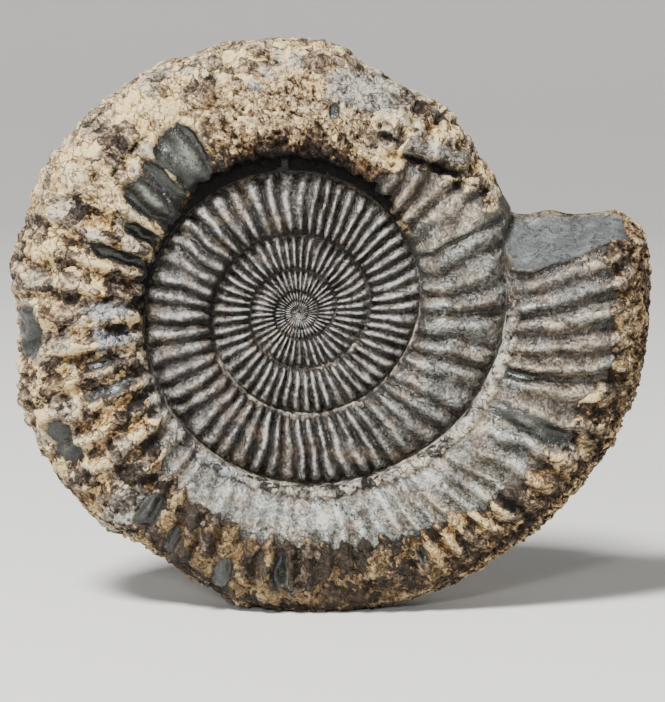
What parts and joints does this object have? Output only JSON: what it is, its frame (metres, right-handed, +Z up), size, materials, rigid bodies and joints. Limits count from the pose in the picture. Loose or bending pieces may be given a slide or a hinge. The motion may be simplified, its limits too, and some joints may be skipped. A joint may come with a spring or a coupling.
{
  "type": "dactylioceras ammonite fossil",
  "caption": "Coiled ribbed stone ammonite, evolute with a stepped umbilicus and a slanting broken end, standing on edge on a small flat spot",
  "frame": {"origin": "centre of the bounding box's bottom, on the resting plane under the coil", "axes": "+X to the right along the coil's width, toward the broken end; +Y to the back, along the coil's axis; +Z up"},
  "size_m": [0.0906, 0.0206, 0.0813],
  "materials": {
    "stone": "satin dark mould with rough tan crust"
  },
  "bodies": {
    "root": {"ammonite": "stone"}
  },
  "joints": []
}
